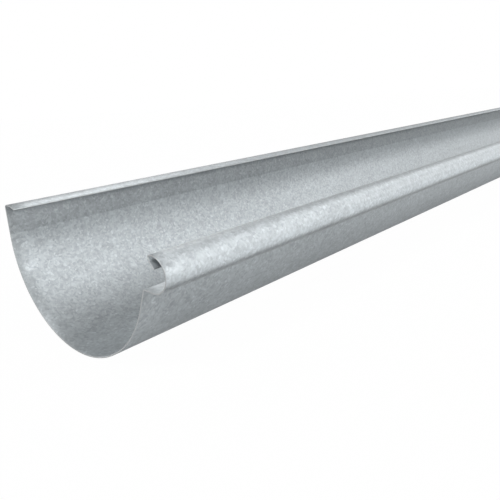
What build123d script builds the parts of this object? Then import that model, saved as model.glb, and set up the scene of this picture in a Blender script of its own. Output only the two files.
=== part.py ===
"""Half-round eaves gutter section, roll-formed from one strip of galvanised steel sheet.

Frame: +X runs along the gutter, the beaded front edge is at -Y, the hemmed back edge at +Y, and +Z is up.
The origin is on the lowest line of the trough's underside, at mid length. Sizes are in millimetres and degrees.
"""
from build123d import *
import math
import os

# Stock: one length of the strip, cut square at both ends
length = 2000.0
sheet = 0.7

# Trough: a part circle that carries straight on into the back wall and the front wall
trough_radius = 63.5  # inside face
back_rise = 20.0  # trough centre to the top of the back edge
front_stop = 22.0  # the curve ends this many degrees below the trough centre, at the front
front_flat = 11.2  # straight front wall above the curve

# Back hem: turned in over the trough, crowned so that its free edge droops
hem_reach = 11.0  # outside of the back wall to the free edge
hem_bend = 1.0  # inside radius
hem_droop = 27.0

# Crest: the front wall folds outwards over a tight bend, then runs out to the bead
crest_bend = 0.85  # inside radius
crest_slope = 6.0  # the run falls by this angle towards the bead
crest_run = 6.1

# Bead: a round roll of the sheet, open towards the trough
bead_diameter = 20.0  # outside
bead_wrap = 191.0

# Lip: the sheet's front edge, turned down into the bead and kinked forwards
lip_bend = 0.65  # inside radius
lip_turn = 101.0
lip_drop = 1.7
lip_kink_bend = 1.6  # inside radius
lip_kink = 26.0
lip_edge = 4.0

# Worked out from the sizes above. A mid radius is that of the middle of the sheet.
half_sheet = sheet / 2
outer_radius = trough_radius + sheet
trough_mid = trough_radius + half_sheet
hem_bend_mid = hem_bend + half_sheet
hem_crown_mid = (hem_reach - hem_bend - sheet) / math.sin(math.radians(hem_droop))
crest_mid = crest_bend + half_sheet
bead_mid = bead_diameter / 2 - half_sheet
front_lean = 90.0 - front_stop


def bend(mid_radius, turn):
    """A stretch that curves through turn degrees: to the left where positive, to the right where negative."""
    return mid_radius, turn


def flat(distance):
    """A straight stretch."""
    return None, distance


# The strip from its back edge to its front edge, as the stretches that the middle of the sheet follows
back_wall = [
    bend(hem_crown_mid, hem_droop),
    bend(hem_bend_mid, 90.0),
    flat(back_rise - hem_bend - sheet),
]
trough = [bend(trough_mid, 90.0 + front_lean)]
crest = [
    flat(front_flat),
    bend(crest_mid, -front_lean - crest_slope),
    flat(crest_run),
]
bead = [bend(bead_mid, bead_wrap)]
lip = [
    bend(lip_bend + half_sheet, lip_turn),
    flat(lip_drop),
    bend(lip_kink_bend + half_sheet, lip_kink),
    flat(lip_edge),
]
strip = back_wall + trough + crest + bead + lip

# Free edge of the hem, in the section's plane: forwards and up from the trough's centre
hem_heading = 180.0 - hem_droop
hem_edge = Vector(
    hem_reach - outer_radius,
    back_rise - half_sheet - hem_crown_mid * (1 - math.cos(math.radians(hem_droop))),
)


def direction(heading):
    """Unit vector at heading degrees from straight forwards."""
    return Vector(math.cos(math.radians(heading)), math.sin(math.radians(heading)))


def sheet_face_line(offset):
    """One face of the sheet as a chain of edges, offset to the left of the middle of the sheet."""
    heading = hem_heading
    point = hem_edge + direction(heading + 90.0) * offset
    edges = []
    for mid_radius, amount in strip:
        if mid_radius is None:
            edge = Line(point, point + direction(heading) * amount)
        else:
            inward = offset if amount > 0 else -offset
            edge = JernArc(point, direction(heading), mid_radius - inward, amount)
            heading += amount
        edges.append(edge)
        point = edge @ 1
    return edges


def strip_section():
    """The strip's cross-section: both faces of the sheet, closed by its two cut edges."""
    inner = sheet_face_line(half_sheet)
    outer = sheet_face_line(-half_sheet)
    back_edge = Line(outer[0] @ 0, inner[0] @ 0)
    front_edge = Line(inner[-1] @ 1, outer[-1] @ 1)
    return make_face(inner + [front_edge] + outer + [back_edge])


def gutter_channel():
    """The section, stood on the lowest line of the trough and carried along the whole length."""
    section_plane = Plane(
        origin=(length / 2, 0, outer_radius), x_dir=(0, -1, 0), z_dir=(-1, 0, 0)
    )
    return extrude(section_plane * strip_section(), amount=length)


os.makedirs("parts", exist_ok=True)
export_step(gutter_channel(), "parts/gutter_channel.step")
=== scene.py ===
"""Looks of a half-round gutter section, folded from one strip of galvanised steel sheet.

The whole gutter is one surface: the line that the middle of the sheet follows in the cross-section,
thickened to both sides and carried along the length. Sizes are in metres and radians.
Axes: +X along the gutter, the beaded front edge towards -Y, the hemmed back wall towards +Y, +Z up.
"""

import math

import bpy
import numpy as np
from mathutils import Matrix, Vector


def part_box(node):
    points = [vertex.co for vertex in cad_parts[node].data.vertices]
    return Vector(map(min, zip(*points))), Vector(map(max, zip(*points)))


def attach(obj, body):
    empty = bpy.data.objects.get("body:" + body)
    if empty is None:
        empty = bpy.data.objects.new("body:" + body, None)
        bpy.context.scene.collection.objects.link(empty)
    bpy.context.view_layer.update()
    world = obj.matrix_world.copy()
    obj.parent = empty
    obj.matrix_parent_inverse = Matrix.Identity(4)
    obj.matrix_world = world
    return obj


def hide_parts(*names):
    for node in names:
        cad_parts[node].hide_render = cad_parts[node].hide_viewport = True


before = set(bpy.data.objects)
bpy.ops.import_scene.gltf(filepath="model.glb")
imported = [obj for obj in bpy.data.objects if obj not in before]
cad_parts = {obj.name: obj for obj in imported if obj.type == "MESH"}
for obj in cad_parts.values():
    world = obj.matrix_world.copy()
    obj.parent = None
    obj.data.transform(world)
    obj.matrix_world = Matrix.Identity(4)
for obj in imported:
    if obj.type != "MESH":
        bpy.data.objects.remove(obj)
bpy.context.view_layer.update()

bl_info = {
    "name": "Half-round Gutter Section",
    "version": (1, 0, 0),
    "blender": (4, 5, 0),
    "location": "3D View > Sidebar > Gutter",
    "description": "Forms a galvanised half-round gutter section and its studio stage",
    "category": "Add Mesh",
}

CHANNEL_NODE = "gutter_channel"
CHANNEL_PIECE = "galvanised_channel"
FLAT_MAP = "flat_strip"
BAKE_MAP = "OFBake"
STATION_COUNT = 200  # lengths that the channel is divided into
FLAT_GAP = 0.02  # distance between the strip's two faces on the flat map
# Attribute that carries the painted highlights and painted shade along the strip
PAINTED_LIGHT = "painted_light_and_shade"

# Softboxes: name, elevation, lean and spread in degrees, and level, fitted to the tones in the photograph
LAMPS = (
    ("top_softbox", 85, -30, 14, 0.455),
    ("far_back_softbox", 124, 30, 20, 0.166),
    ("low_softbox", 12, 20, 30, 0.37),
    ("low_near_softbox", 8, -30, 16, 0.055),
    ("front_softbox", 23, 0, 14, 0.139),
    ("front_far_softbox", 23, 55, 14, 0.087),
    ("near_softbox", 20, -60, 20, 0.12),
    ("high_softbox", 44, 35, 16, 0.133),
    ("high_wide_softbox", 66, 20, 30, 0.11),
    ("high_far_softbox", 66, 55, 20, 0.088),
    ("back_softbox", 172, -10, 30, 0.26),
    ("back_far_softbox", 166, 32, 30, 0.075),
)

# Painted highlights and painted shade in bands along the strip: distance from the hem's edge, and factor on
# the
# colour. They are fitted, not seen: each factor was set by comparing the render's tones with the
# photograph's.
# Factors above 1, such as 1.54 on the bead's front, are painted highlights, and the 1.85 on the lip is
# painted light. Factors below 1, such as those on the hem's bend and along the bead's top and foot, are
# painted shade.
# Between two places the factor changes evenly, so the inner one also falls from 1.00 to 0.96 over the back
# wall and the trough. That fall isn't meant: a place (0.2160, 1.00) before (0.2172, 0.96) takes it out.
INNER_PAINTED_LIGHT = (
    (0.0000, 1.00), (0.2172, 0.96), (0.2190, 1.04), (0.2290, 1.20), (0.2340, 1.00), (0.2574, 1.00),
    (0.2582, 1.85), (0.2603, 1.85), (0.2608, 1.00),
)
OUTER_PAINTED_LIGHT = (
    (0.0000, 0.98), (0.0016, 1.04), (0.0038, 1.00), (0.0054, 0.86), (0.0076, 0.66), (0.0096, 0.62),
    (0.0118, 0.68), (0.0135, 0.90), (0.0160, 1.00), (0.2300, 1.00), (0.2325, 0.86), (0.2340, 0.70),
    (0.2354, 0.80), (0.2370, 1.26), (0.2386, 1.54), (0.2412, 1.54), (0.2432, 1.18), (0.2450, 1.02),
    (0.2470, 1.02), (0.2490, 1.12), (0.2510, 1.24), (0.2526, 1.06), (0.2542, 0.86), (0.2556, 0.80),
    (0.2580, 1.00),
)

channel_low, channel_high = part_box(CHANNEL_NODE)


class GutterSizes(bpy.types.PropertyGroup):
    """Sizes of the folded strip, in the order in which the sheet runs from its back to its front edge."""

    sheet: bpy.props.FloatProperty(
        name="Sheet", description="Thickness of the sheet",
        default=0.0007, precision=5, unit="LENGTH",
    )
    hem_reach: bpy.props.FloatProperty(
        name="Hem reach", description="Outside of the back wall to the hem's free edge",
        default=0.011, precision=4, unit="LENGTH",
    )
    hem_droop: bpy.props.FloatProperty(
        name="Hem droop", description="How far the hem's free edge leans down",
        default=math.radians(27), subtype="ANGLE",
    )
    hem_bend: bpy.props.FloatProperty(
        name="Hem bend", description="Inside radius of the bend at the top of the back wall",
        default=0.001, precision=4, unit="LENGTH",
    )
    back_rise: bpy.props.FloatProperty(
        name="Back rise", description="Trough centre to the top of the back edge",
        default=0.020, precision=4, unit="LENGTH",
    )
    trough_radius: bpy.props.FloatProperty(
        name="Trough radius", description="Inside radius of the trough",
        default=0.0635, precision=4, unit="LENGTH",
    )
    front_stop: bpy.props.FloatProperty(
        name="Front stop", description="How far below the trough centre the curve ends at the front",
        default=math.radians(22), subtype="ANGLE",
    )
    front_flat: bpy.props.FloatProperty(
        name="Front flat", description="Straight front wall above the curve",
        default=0.0112, precision=4, unit="LENGTH",
    )
    crest_bend: bpy.props.FloatProperty(
        name="Crest bend", description="Inside radius of the fold on top of the front wall",
        default=0.00085, precision=5, unit="LENGTH",
    )
    crest_slope: bpy.props.FloatProperty(
        name="Crest slope", description="Fall of the sheet from the crest towards the bead",
        default=math.radians(6), subtype="ANGLE",
    )
    crest_run: bpy.props.FloatProperty(
        name="Crest run", description="Straight sheet between the crest and the bead",
        default=0.0061, precision=4, unit="LENGTH",
    )
    bead_diameter: bpy.props.FloatProperty(
        name="Bead diameter", description="Outside diameter of the rolled front bead",
        default=0.020, precision=4, unit="LENGTH",
    )
    bead_wrap: bpy.props.FloatProperty(
        name="Bead wrap", description="How far the sheet turns round the bead",
        default=math.radians(191), subtype="ANGLE",
    )
    lip_bend: bpy.props.FloatProperty(
        name="Lip bend", description="Inside radius of the bend into the bead's lip",
        default=0.00065, precision=5, unit="LENGTH",
    )
    lip_turn: bpy.props.FloatProperty(
        name="Lip turn", description="How far the sheet turns down into the bead",
        default=math.radians(101), subtype="ANGLE",
    )
    lip_drop: bpy.props.FloatProperty(
        name="Lip drop", description="Steep part of the lip",
        default=0.0017, precision=4, unit="LENGTH",
    )
    lip_kink_bend: bpy.props.FloatProperty(
        name="Lip kink bend", description="Inside radius of the kink in the lip",
        default=0.0016, precision=4, unit="LENGTH",
    )
    lip_kink: bpy.props.FloatProperty(
        name="Lip kink", description="How far the lip's edge kinks forwards",
        default=math.radians(26), subtype="ANGLE",
    )
    lip_edge: bpy.props.FloatProperty(
        name="Lip edge", description="Flat edge of the lip past the kink",
        default=0.004, precision=4, unit="LENGTH",
    )
    cut_round: bpy.props.FloatProperty(
        name="Cut rounding", description="Width of the worn corner along every cut edge",
        default=0.00009, precision=6, unit="LENGTH",
    )
    waviness: bpy.props.FloatProperty(
        name="Waviness", description="How far the rolled sheet strays from its ideal line",
        default=0.0001, precision=6, unit="LENGTH",
    )


class GalvanisedFinish(bpy.types.PropertyGroup):
    """Colours and grain of the zinc coating."""

    zinc: bpy.props.FloatVectorProperty(
        name="Zinc", description="Mean colour of the coating",
        default=(0.336, 0.362, 0.376), subtype="COLOR", size=3, min=0, max=1,
    )
    cut_metal: bpy.props.FloatVectorProperty(
        name="Cut metal", description="Colour of the bare steel on the cut edges",
        default=(0.45, 0.465, 0.47), subtype="COLOR", size=3, min=0, max=1,
    )
    spangle: bpy.props.FloatProperty(
        name="Spangle", description="Width of a zinc crystal",
        default=0.0036, precision=4, unit="LENGTH",
    )
    roughness: bpy.props.FloatProperty(
        name="Roughness", description="Mean roughness of the coating",
        default=0.45, min=0, max=1, subtype="FACTOR",
    )
    # Painted shade: the inside is painted darker under the hem, as the hem's shadow, down to a straight foot
    painted_hem_shade: bpy.props.FloatProperty(
        name="Dull band", description="How much darker the inside is, from the hem to the band's foot",
        default=0.19, min=0, max=1, subtype="FACTOR",
    )
    hem_shade_foot: bpy.props.FloatProperty(
        name="Band foot",
        description="Lower edge of the dull band, as a distance along the sheet from the hem's edge",
        default=0.0288, precision=4, unit="LENGTH",
    )
    metallic: bpy.props.FloatProperty(
        name="Metallic", description="Share of bare metal in the coating's look",
        default=0.5, min=0, max=1, subtype="FACTOR",
    )


class StudioSetup(bpy.types.PropertyGroup):
    """Camera and lamps."""

    camera_place: bpy.props.FloatVectorProperty(
        name="Camera place", description="Where the camera stands",
        default=(-1.1624, -0.2791, 0.1410), subtype="XYZ", size=3, unit="LENGTH", precision=4,
    )
    camera_heading: bpy.props.FloatProperty(
        name="Camera heading", description="Turn of the view from +X towards +Y",
        default=math.radians(41.62), subtype="ANGLE",
    )
    camera_dip: bpy.props.FloatProperty(
        name="Camera dip", description="How far the view looks down",
        default=math.radians(15.46), subtype="ANGLE",
    )
    camera_roll: bpy.props.FloatProperty(
        name="Camera roll", description="Clockwise roll of the camera",
        default=math.radians(4.03), subtype="ANGLE",
    )
    lens: bpy.props.FloatProperty(
        name="Lens", description="Focal length in millimetres, on a sensor 36 mm wide",
        default=41.18,
    )
    sky_strength: bpy.props.FloatProperty(
        name="Sky strength", description="Strength of the even light from all sides",
        default=0.03,
    )


def ahead(headings):
    """Unit vectors along headings, as rows (forwards, up)."""
    return np.stack([np.cos(headings), np.sin(headings)], axis=-1)


def left_of(headings):
    """Unit vectors a quarter turn to the left of headings, as rows (forwards, up)."""
    return np.stack([-np.sin(headings), np.cos(headings)], axis=-1)


def hem_crown(sizes):
    """Radius of the hem's crown, which spreads the droop over the hem's reach."""
    return (sizes.hem_reach - sizes.hem_bend - sizes.sheet) / math.sin(sizes.hem_droop)


def folds(sizes):
    """The strip's stretches from its back edge to its front edge, each as (radius, amount, step).

    A bend has a radius, that of the middle of the sheet, and turns by amount, to the left where positive.
    A flat has no radius and is amount long. The step is the most that lies between two points.
    """
    half = sizes.sheet / 2
    front_lean = math.pi / 2 - sizes.front_stop
    wide_step, bead_step, tight_step = np.radians([2.5, 6.0, 10.0])
    flat_step = 0.003
    return [
        (hem_crown(sizes), sizes.hem_droop, wide_step),
        (sizes.hem_bend + half, math.pi / 2, tight_step),
        (None, sizes.back_rise - sizes.hem_bend - sizes.sheet, flat_step),
        (sizes.trough_radius + half, math.pi / 2 + front_lean, wide_step),
        (None, sizes.front_flat, flat_step),
        (sizes.crest_bend + half, -front_lean - sizes.crest_slope, tight_step),
        (None, sizes.crest_run, flat_step),
        (sizes.bead_diameter / 2 - half, sizes.bead_wrap, bead_step),
        (sizes.lip_bend + half, sizes.lip_turn, tight_step),
        (None, sizes.lip_drop, flat_step),
        (sizes.lip_kink_bend + half, sizes.lip_kink, tight_step),
        (None, sizes.lip_edge, flat_step),
    ]


def section_line(sizes):
    """The middle of the sheet in the cross-section: points (forwards, up), headings and distance run.

    A flat's point is its start plus the distance run times the heading's unit vector. A bend's point is
    its centre less the radius times the unit vector to the left of the heading, which turns evenly.
    Each stretch starts where the last one ends, with the same heading.
    """
    point = np.array([
        sizes.hem_reach - sizes.trough_radius - sizes.sheet,
        sizes.back_rise - sizes.sheet / 2 - hem_crown(sizes) * (1 - math.cos(sizes.hem_droop)),
    ])
    heading = math.pi - sizes.hem_droop
    girth = 0.0
    points, headings, runs = [point[None]], [np.array([heading])], [np.zeros(1)]
    for radius, amount, step in folds(sizes):
        share = np.linspace(0, 1, max(2, math.ceil(abs(amount) / step)) + 1)[1:]
        if radius is None:
            turned = np.full(len(share), heading)
            stretch = point + amount * share[:, None] * ahead(turned)
            distance = amount
        else:
            turned = heading + amount * share
            reach = math.copysign(radius, amount)
            stretch = point + reach * left_of(np.array([heading])) - reach * left_of(turned)
            distance = abs(radius * amount)
        points.append(stretch)
        headings.append(turned)
        runs.append(girth + distance * share)
        point, heading, girth = stretch[-1], turned[-1], girth + distance
    return np.concatenate(points), np.concatenate(headings), np.concatenate(runs)


def with_cut_corners(positions, cut_round):
    """Positions with one more just inside each end, where the worn corner of the cut edge begins."""
    inside = [positions[0] + cut_round, positions[-1] - cut_round]
    return np.sort(np.concatenate([positions, inside]))


def stray(across, along):
    """How far rolling leaves the sheet off its ideal line, from 0 to 1, over distances across and along it.

    A sum of a few slanting cosine waves of different lengths, whose starts come from one seed.
    """
    waves = np.random.default_rng(11)
    wave_count = 14
    long_pitch = waves.uniform(0.09, 0.55, wave_count)
    cross_pitch = waves.uniform(0.07, 0.30, wave_count) * waves.choice([-1, 1], wave_count)
    start = waves.uniform(0, 2 * math.pi, wave_count)
    height = long_pitch / long_pitch.sum()
    phase = (
        2 * math.pi * (along[None, :, None] / long_pitch + across[:, None, None] / cross_pitch) + start
    )
    return 0.5 + 0.5 * (height * np.cos(phase)).sum(axis=2)


def corners(grid):
    """The four corner values of every face of a grid, in the order that turns its front to the normal."""
    return np.stack([grid[:-1, :-1], grid[1:, :-1], grid[1:, 1:], grid[:-1, 1:]], axis=2).reshape(
        -1, 4, *grid.shape[2:]
    )


def channel_surface(sizes):
    """Both faces of the strip as grids of points over its girth and length, and where the grid lines lie.

    A point is the middle line's point, plus the normal times the stray, plus or minus the normal times
    half the sheet's thickness. Along every cut edge the half thickness is less by the worn corner.
    """
    line, heading, run = section_line(sizes)
    across = with_cut_corners(run, sizes.cut_round)
    middle = np.stack([np.interp(across, run, line[:, axis]) for axis in (0, 1)], axis=-1)
    normal = left_of(np.interp(across, run, heading))
    half_length = (channel_high.x - channel_low.x) / 2
    stations = np.linspace(-half_length, half_length, STATION_COUNT + 1)
    along = with_cut_corners(stations, sizes.cut_round)
    half = np.full((len(across), len(along)), sizes.sheet / 2)
    half[[0, -1], :] -= sizes.cut_round
    half[1:-1, [0, -1]] -= sizes.cut_round
    bow = sizes.waviness * stray(across, along)
    faces = []
    for side in (1, -1):
        offset = bow + side * half
        place = middle[:, None, :] + normal[:, None, :] * offset[:, :, None]
        x = np.broadcast_to(along, offset.shape)
        y = -place[:, :, 0]
        z = place[:, :, 1] + sizes.trough_radius + sizes.sheet
        faces.append(np.stack([x, y, z], axis=2))
    return faces[0], faces[1], across, along


def bake_bands():
    """Low and high edge of each patch's band on the bake map: wide ones for faces, thin ones for edges."""
    wide = ["inner_near", "inner_far", "outer_near", "outer_far"]
    thin = ["back_near", "back_far", "front_near", "front_far", "near_end", "far_end"]
    gap, thin_height = 0.006, 0.005
    wide_height = (1 - len(thin) * (thin_height + gap) - (len(wide) + 1) * gap) / len(wide)
    bands, low = {}, gap
    for name in wide + thin:
        height = wide_height if name in wide else thin_height
        bands[name] = (low, low + height)
        low += height + gap
    return bands


def to_unit(values):
    """Values moved and scaled to run from 0 to 1."""
    return (values - values.min()) / max(np.ptp(values), 1e-12)


def patch(points, flat_u, flat_v, band):
    """A grid of point numbers as faces, with their places on the flat strip and, in a band, on the bake map.

    Places on the bake map run evenly from edge to edge of the band with the flat strip's distances.
    """
    margin = 0.004
    low, high = band
    bake_u = margin + (1 - 2 * margin) * to_unit(flat_u)
    bake_v = low + (high - low) * to_unit(flat_v)
    return (
        corners(points),
        corners(np.stack([flat_u, flat_v], axis=2)),
        corners(np.stack([bake_u, bake_v], axis=2)),
    )


def channel_patches(across, along):
    """The strip's closed skin: two faces, two long edges and two sawn ends, with the cut faces marked."""
    rows, columns = len(across), len(along)
    inner = np.arange(rows * columns).reshape(rows, columns)
    outer = inner + inner.size
    u, v = np.broadcast_arrays(along[None, :], across[:, None])
    under = v + FLAT_GAP + across[-1]
    halves = {"near": slice(0, columns // 2 + 1), "far": slice(columns // 2, columns)}
    bands = bake_bands()
    worn_row = np.isin(np.arange(rows - 1), [0, rows - 2])[:, None]
    worn_column = np.isin(np.arange(columns - 1), [0, columns - 2])[None, :]
    worn = worn_row | worn_column
    edge_v = np.array([[0.0], [FLAT_GAP]])
    patches, cut = [], []
    for half_name, part in halves.items():
        faces = slice(part.start, part.stop - 1)
        patches.append(patch(inner[:, part], u[:, part], v[:, part], bands["inner_" + half_name]))
        cut.append(worn[:, faces].ravel())
        patches.append(
            patch(outer[::-1, part], u[:, part], under[::-1, part], bands["outer_" + half_name])
        )
        cut.append(worn[::-1, faces].ravel())
        for edge_name, order in (("back_", (outer[0], inner[0])), ("front_", (inner[-1], outer[-1]))):
            edge = np.stack(order)[:, part]
            edge_u, edge_flat = np.broadcast_arrays(along[None, part], edge_v)
            patches.append(patch(edge, edge_u, edge_flat, bands[edge_name + half_name]))
            cut.append(np.ones(edge.shape[1] - 1, bool))
    for end_name, order in (
        ("near_end", (inner[:, 0], outer[:, 0])),
        ("far_end", (outer[:, -1], inner[:, -1])),
    ):
        end_u, end_flat = np.broadcast_arrays(across[None, :], edge_v)
        patches.append(patch(np.stack(order), end_u, end_flat, bands[end_name]))
        cut.append(np.ones(rows - 1, bool))
    faces, flat, baked = (np.concatenate(group) for group in zip(*patches))
    return faces, flat, baked, np.concatenate(cut)


def mesh_piece(name, points, faces):
    """An object at the origin whose mesh holds the points and four-cornered faces."""
    mesh = bpy.data.meshes.new(name)
    mesh.vertices.add(len(points))
    mesh.vertices.foreach_set("co", points.astype(np.float32).ravel())
    mesh.loops.add(faces.size)
    mesh.loops.foreach_set("vertex_index", faces.astype(np.int32).ravel())
    mesh.polygons.add(len(faces))
    mesh.polygons.foreach_set("loop_start", np.arange(0, faces.size, 4, dtype=np.int32))
    mesh.update(calc_edges=True)
    piece = bpy.data.objects.new(name, mesh)
    bpy.context.scene.collection.objects.link(piece)
    return piece


def add_map(mesh, name, places):
    """A UV map from one place for each corner of each face."""
    layer = mesh.uv_layers.new(name=name, do_init=False)
    layer.uv.foreach_set("vector", places.astype(np.float32).ravel())


def add_painted_light(mesh, across, columns):
    """Each point's factor of painted light and shade, as an attribute evened out between its face's places.
    """
    rows = np.concatenate([np.interp(across, *np.array(tones).T) for tones in (INNER_PAINTED_LIGHT, OUTER_PAINTED_LIGHT)])
    layer = mesh.attributes.new(PAINTED_LIGHT, "FLOAT", "POINT")
    layer.data.foreach_set("value", np.repeat(rows, columns).astype(np.float32))


def put_node(tree, kind, values=(), **settings):
    """A new node of a kind, with its settings, and with values for its input sockets by name or number."""
    node = tree.nodes.new(kind)
    for name, setting in settings.items():
        setattr(node, name, setting)
    for socket, value in dict(values).items():
        node.inputs[socket].default_value = value
    return node


def noise(tree, place, size, detail=2.0, roughness=0.5):
    """Soft noise whose blotches are about size across."""
    node = put_node(
        tree, "ShaderNodeTexNoise", {"Scale": 1 / size, "Detail": detail, "Roughness": roughness}
    )
    tree.links.new(place, node.inputs["Vector"])
    return node


def crystals(tree, place, size, softness):
    """Crystal cells about size across with soft borders: each cell's chance colour, and its three parts."""
    node = put_node(
        tree, "ShaderNodeTexVoronoi", {"Scale": 1 / size, "Smoothness": softness}, feature="SMOOTH_F1"
    )
    tree.links.new(place, node.inputs["Vector"])
    split = put_node(tree, "ShaderNodeSeparateColor")
    tree.links.new(node.outputs["Color"], split.inputs["Color"])
    return node.outputs["Color"], split.outputs


def product(tree, first, second):
    """One output times another."""
    node = put_node(tree, "ShaderNodeMath", operation="MULTIPLY")
    tree.links.new(first, node.inputs[0])
    tree.links.new(second, node.inputs[1])
    return node.outputs[0]


def ramp(tree, output, span, ends):
    """The first of two ends below a span of the output, the second above it, and evenly between inside."""
    node = put_node(tree, "ShaderNodeMapRange", {
        "From Min": span[0],
        "From Max": span[1],
        "To Min": ends[0],
        "To Max": ends[1],
    })
    tree.links.new(output, node.inputs["Value"])
    return node.outputs["Result"]


def weighted(tree, parts, base=0.0):
    """Base plus the sum of each output times its weight."""
    total = None
    for output, weight in parts:
        step = put_node(tree, "ShaderNodeMath", {1: weight, 2: base}, operation="MULTIPLY_ADD")
        tree.links.new(output, step.inputs[0])
        if total is not None:
            tree.links.new(total, step.inputs[2])
        total = step.outputs[0]
    return total


def galvanised_steel(finish):
    """Zinc coating: soft crystals of two sizes, each a little lighter or darker, rougher or smoother and
    tilted its own way, a few of the small ones painted brighter as glints, under clouds where the zinc set
    faster or slower, with a fine grain over all. From the hem down to the foot of the back wall, the inside
    is painted darker as the hem's shade, with a straight lower edge. Fitted bands of painted highlights and
    painted shade lie over all of it."""
    material = bpy.data.materials.new("galvanised_steel")
    material.use_nodes = True
    tree = material.node_tree
    surface = tree.nodes["Principled BSDF"]
    surface.inputs["Metallic"].default_value = finish.metallic
    flat = put_node(tree, "ShaderNodeUVMap", uv_map=FLAT_MAP).outputs["UV"]

    ripple = noise(tree, flat, finish.spangle * 1.2, detail=3.0)
    sway = (finish.spangle * 0.9,) * 3
    warp = put_node(tree, "ShaderNodeVectorMath", {1: sway}, operation="MULTIPLY_ADD")
    tree.links.new(ripple.outputs["Color"], warp.inputs[0])
    tree.links.new(flat, warp.inputs[2])
    place = warp.outputs["Vector"]

    _, large_parts = crystals(tree, place, finish.spangle, 0.35)
    small_colour, small_parts = crystals(tree, place, finish.spangle * 0.42, 0.4)
    clouds = noise(tree, flat, 0.020, detail=3.0, roughness=0.55).outputs["Fac"]
    drifts = noise(tree, flat, 0.11, detail=2.0).outputs["Fac"]
    grain = noise(tree, flat, 0.0011, detail=2.0, roughness=0.6).outputs["Fac"]

    lightness = weighted(
        tree,
        [
            (large_parts["Red"], 0.20),
            (small_parts["Red"], 0.50),
            (clouds, 0.30),
            (drifts, 0.22),
            (grain, 0.50),
        ],
        base=-0.36,
    )
    shade = put_node(tree, "ShaderNodeValToRGB")
    contrast = 0.28
    for element, factor in zip(shade.color_ramp.elements, (1 - contrast, 1 + contrast)):
        element.color = (*[channel * factor for channel in finish.zinc], 1.0)
    tree.links.new(lightness, shade.inputs["Fac"])

    girth = put_node(tree, "ShaderNodeSeparateXYZ")
    tree.links.new(flat, girth.inputs["Vector"])
    # Painted shade under the hem: darker colour from the hem down to the band's foot
    foot_blur = 0.0004
    wall = ramp(
        tree, girth.outputs["Y"],
        (finish.hem_shade_foot - foot_blur, finish.hem_shade_foot + foot_blur), (1 - finish.painted_hem_shade, 1.0),
    )
    # Painted highlights and painted shade in bands along the strip, from the point attribute
    painted_light_factor = put_node(tree, "ShaderNodeAttribute", attribute_name=PAINTED_LIGHT, attribute_type="GEOMETRY")
    # Painted glints: a few small crystals get a brighter colour
    painted_glint = ramp(tree, small_parts["Blue"], (0.74, 0.86), (1.0, 1.12))
    factor = product(tree, product(tree, wall, painted_light_factor.outputs["Fac"]), painted_glint)
    colour = put_node(tree, "ShaderNodeVectorMath", operation="SCALE")
    tree.links.new(shade.outputs["Color"], colour.inputs[0])
    tree.links.new(factor, colour.inputs["Scale"])
    tree.links.new(colour.outputs["Vector"], surface.inputs["Base Color"])

    rough = weighted(
        tree,
        [(large_parts["Green"], 0.06), (small_parts["Green"], 0.06), (clouds, 0.04)],
        base=finish.roughness - 0.08,
    )
    tree.links.new(rough, surface.inputs["Roughness"])

    facing = put_node(tree, "ShaderNodeNewGeometry").outputs["Normal"]
    lean = put_node(tree, "ShaderNodeVectorMath", {1: (0.5, 0.5, 0.5)}, operation="SUBTRACT")
    tree.links.new(small_colour, lean.inputs[0])
    tilt = put_node(tree, "ShaderNodeVectorMath", {1: (0.02, 0.02, 0.02)}, operation="MULTIPLY_ADD")
    tree.links.new(lean.outputs["Vector"], tilt.inputs[0])
    tree.links.new(facing, tilt.inputs[2])
    relief = put_node(tree, "ShaderNodeBump", {"Strength": 0.5, "Distance": 0.00002})
    tree.links.new(grain, relief.inputs["Height"])
    tree.links.new(tilt.outputs["Vector"], relief.inputs["Normal"])
    tree.links.new(relief.outputs["Normal"], surface.inputs["Normal"])
    return material


def cut_steel(finish):
    """Bare sheared steel along the cut edges: brighter than the zinc, with fine marks of the blade."""
    material = bpy.data.materials.new("cut_steel")
    material.use_nodes = True
    tree = material.node_tree
    surface = tree.nodes["Principled BSDF"]
    surface.inputs["Metallic"].default_value = 0.9
    place = put_node(tree, "ShaderNodeTexCoord").outputs["Object"]
    marks = noise(tree, place, 0.0008, detail=2.0).outputs["Fac"]
    shade = put_node(tree, "ShaderNodeValToRGB")
    for element, factor in zip(shade.color_ramp.elements, (0.8, 1.15)):
        element.color = (*[min(1.0, channel * factor) for channel in finish.cut_metal], 1.0)
    tree.links.new(marks, shade.inputs["Fac"])
    tree.links.new(shade.outputs["Color"], surface.inputs["Base Color"])
    rough = weighted(tree, [(marks, 0.2)], base=0.35)
    tree.links.new(rough, surface.inputs["Roughness"])
    return material


def form_channel(sizes, finish):
    """The gutter channel as one closed skin, in place of the plain node."""
    inner, outer, across, along = channel_surface(sizes)
    faces, flat, baked, cut = channel_patches(across, along)
    points = np.concatenate([inner.reshape(-1, 3), outer.reshape(-1, 3)])
    piece = mesh_piece(CHANNEL_PIECE, points, faces)
    mesh = piece.data
    add_map(mesh, FLAT_MAP, flat)
    add_map(mesh, BAKE_MAP, baked)
    add_painted_light(mesh, across, len(along))
    mesh.uv_layers.active = mesh.uv_layers[FLAT_MAP]
    mesh.materials.append(galvanised_steel(finish))
    mesh.materials.append(cut_steel(finish))
    mesh.polygons.foreach_set("material_index", cut.astype(np.int32))
    mesh.polygons.foreach_set("use_smooth", ~cut)
    mesh.update()
    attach(piece, "root")
    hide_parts(CHANNEL_NODE)


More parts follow.
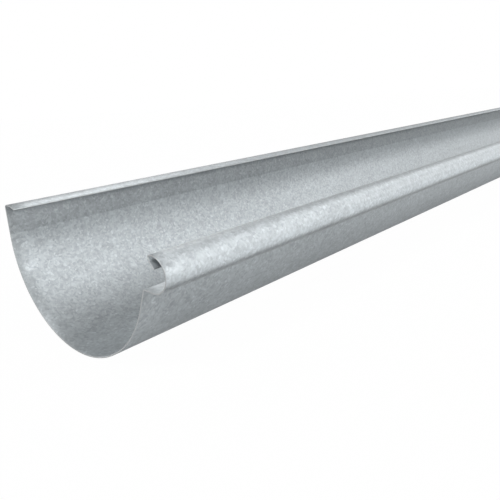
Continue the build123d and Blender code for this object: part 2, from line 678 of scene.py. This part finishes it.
def sight(tree, camera_share, reflection_share):
    """How much white a ray sees: one share for the camera's rays, one for those of reflections and of
    see-through surfaces, and none for rays that only carry light."""
    path = put_node(tree, "ShaderNodeLightPath")
    reflected = put_node(tree, "ShaderNodeMath", operation="MAXIMUM")
    tree.links.new(path.outputs["Is Glossy Ray"], reflected.inputs[0])
    tree.links.new(path.outputs["Is Transmission Ray"], reflected.inputs[1])
    direct = put_node(tree, "ShaderNodeMath", {1: camera_share}, operation="MULTIPLY")
    tree.links.new(path.outputs["Is Camera Ray"], direct.inputs[0])
    total = put_node(tree, "ShaderNodeMath", {1: reflection_share}, operation="MULTIPLY_ADD")
    tree.links.new(reflected.outputs[0], total.inputs[0])
    tree.links.new(direct.outputs[0], total.inputs[2])
    return total.outputs[0]


def set_world(studio):
    """An even white surround to look at, and a softer even light from all sides."""
    world = bpy.data.worlds.new("studio_world")
    bpy.context.scene.world = world
    world.use_nodes = True
    world.cycles.sampling_method = "NONE"
    tree = world.node_tree
    light = tree.nodes["Background"]
    light.inputs["Color"].default_value = (1, 1, 1, 1)
    light.inputs["Strength"].default_value = studio.sky_strength
    white = put_node(tree, "ShaderNodeBackground", {"Color": (1, 1, 1, 1), "Strength": 1.0})
    mix = put_node(tree, "ShaderNodeMixShader")
    tree.links.new(sight(tree, camera_share=1.0, reflection_share=0.75), mix.inputs["Fac"])
    tree.links.new(light.outputs[0], mix.inputs[1])
    tree.links.new(white.outputs[0], mix.inputs[2])
    tree.links.new(mix.outputs[0], tree.nodes["World Output"].inputs["Surface"])


def floor_white():
    """Pale floor that looks white to the camera and in reflections, and still takes a shadow."""
    material = bpy.data.materials.new("studio_floor")
    material.use_nodes = True
    material.cycles.emission_sampling = "NONE"
    tree = material.node_tree
    tree.nodes.remove(tree.nodes["Principled BSDF"])
    matt = put_node(tree, "ShaderNodeBsdfDiffuse", {"Color": (0.85, 0.85, 0.85, 1)})
    glow = put_node(tree, "ShaderNodeEmission", {"Color": (1, 1, 1, 1), "Strength": 1.0})
    mix = put_node(tree, "ShaderNodeMixShader")
    tree.links.new(sight(tree, camera_share=0.985, reflection_share=0.1), mix.inputs["Fac"])
    tree.links.new(matt.outputs[0], mix.inputs[1])
    tree.links.new(glow.outputs[0], mix.inputs[2])
    tree.links.new(mix.outputs[0], tree.nodes["Material Output"].inputs["Surface"])
    return material


def lay_floor():
    """A wide floor just under the gutter."""
    reach = 6.0
    points = np.array([[-reach, -reach, 0], [reach, -reach, 0], [reach, reach, 0], [-reach, reach, 0]])
    floor = mesh_piece("studio_floor", points, np.array([[0, 1, 2, 3]]))
    floor.data.materials.append(floor_white())


def hang_lamp(name, elevation, lean, spread, level):
    """A softbox so far off that it lights the whole length alike.

    Its place is given by two angles: elevation turns round the gutter's axis, from the front's horizon up
    and over to the back, and lean is the turn out of the cross-section towards the far end. Spread is the
    angle that it fills, seen from the gutter. Level is the light that it casts on a white sheet facing it,
    where 1 lets the sheet look white.
    """
    out = Vector((
        math.sin(lean),
        -math.cos(elevation) * math.cos(lean),
        math.sin(elevation) * math.cos(lean),
    ))
    distance = 3.0
    data = bpy.data.lights.new(name, "SUN")
    data.angle = spread
    data.energy = level * math.pi
    lamp = bpy.data.objects.new(name, data)
    lamp.matrix_world = Matrix.Translation(out * distance) @ out.to_track_quat("Z", "Y").to_matrix().to_4x4()
    bpy.context.scene.collection.objects.link(lamp)


def set_camera(studio):
    """The camera at the photographed angle."""
    data = bpy.data.cameras.new("view")
    data.lens = studio.lens
    data.sensor_width = 36
    data.clip_start = 0.01
    camera = bpy.data.objects.new("view", data)
    dip, heading = studio.camera_dip, studio.camera_heading
    look = Vector((
        math.cos(dip) * math.cos(heading),
        math.cos(dip) * math.sin(heading),
        -math.sin(dip),
    ))
    level = look.to_track_quat("-Z", "Y").to_matrix()
    turn = level @ Matrix.Rotation(-studio.camera_roll, 3, "Z")
    camera.matrix_world = Matrix.Translation(studio.camera_place) @ turn.to_4x4()
    bpy.context.scene.collection.objects.link(camera)
    bpy.context.scene.camera = camera


class GUTTER_OT_form_channel(bpy.types.Operator):
    """Form the galvanised channel from its sizes and finish"""

    bl_idname = "gutter.form_channel"
    bl_label = "Form Channel"

    def execute(self, context):
        sizes, finish, _ = settings()
        form_channel(sizes, finish)
        return {"FINISHED"}


class GUTTER_OT_set_stage(bpy.types.Operator):
    """Set the floor, the lamps, the white surround and the camera"""

    bl_idname = "gutter.set_stage"
    bl_label = "Set Stage"

    def execute(self, context):
        studio = settings()[2]
        set_world(studio)
        lay_floor()
        for name, elevation, lean, spread, level in LAMPS:
            hang_lamp(name, math.radians(elevation), math.radians(lean), math.radians(spread), level)
        set_camera(studio)
        bpy.context.scene.view_settings.view_transform = "Standard"
        return {"FINISHED"}


class GUTTER_PT_sidebar(bpy.types.Panel):
    """Sizes, finish and stage of the gutter"""

    bl_idname = "GUTTER_PT_sidebar"
    bl_label = "Gutter Section"
    bl_space_type = "VIEW_3D"
    bl_region_type = "UI"
    bl_category = "Gutter"

    def draw(self, context):
        for group in settings():
            for name in group.__annotations__:
                self.layout.prop(group, name)
        self.layout.operator(GUTTER_OT_form_channel.bl_idname)
        self.layout.operator(GUTTER_OT_set_stage.bl_idname)


CLASSES = (
    GutterSizes,
    GalvanisedFinish,
    StudioSetup,
    GUTTER_OT_form_channel,
    GUTTER_OT_set_stage,
    GUTTER_PT_sidebar,
)


def settings():
    """The scene's sizes, finish and studio."""
    scene = bpy.context.scene
    return scene.gutter_sizes, scene.gutter_finish, scene.gutter_studio


def register():
    """Make the settings, operators and panel known."""
    for known in CLASSES:
        bpy.utils.register_class(known)
    bpy.types.Scene.gutter_sizes = bpy.props.PointerProperty(type=GutterSizes)
    bpy.types.Scene.gutter_finish = bpy.props.PointerProperty(type=GalvanisedFinish)
    bpy.types.Scene.gutter_studio = bpy.props.PointerProperty(type=StudioSetup)


def unregister():
    """Take the settings, operators and panel away again."""
    for name in ("gutter_sizes", "gutter_finish", "gutter_studio"):
        delattr(bpy.types.Scene, name)
    for known in reversed(CLASSES):
        bpy.utils.unregister_class(known)


def main():
    """Build the gutter and its stage."""
    register()
    bpy.ops.gutter.form_channel()
    bpy.ops.gutter.set_stage()


if __name__ == "__main__":
    main()
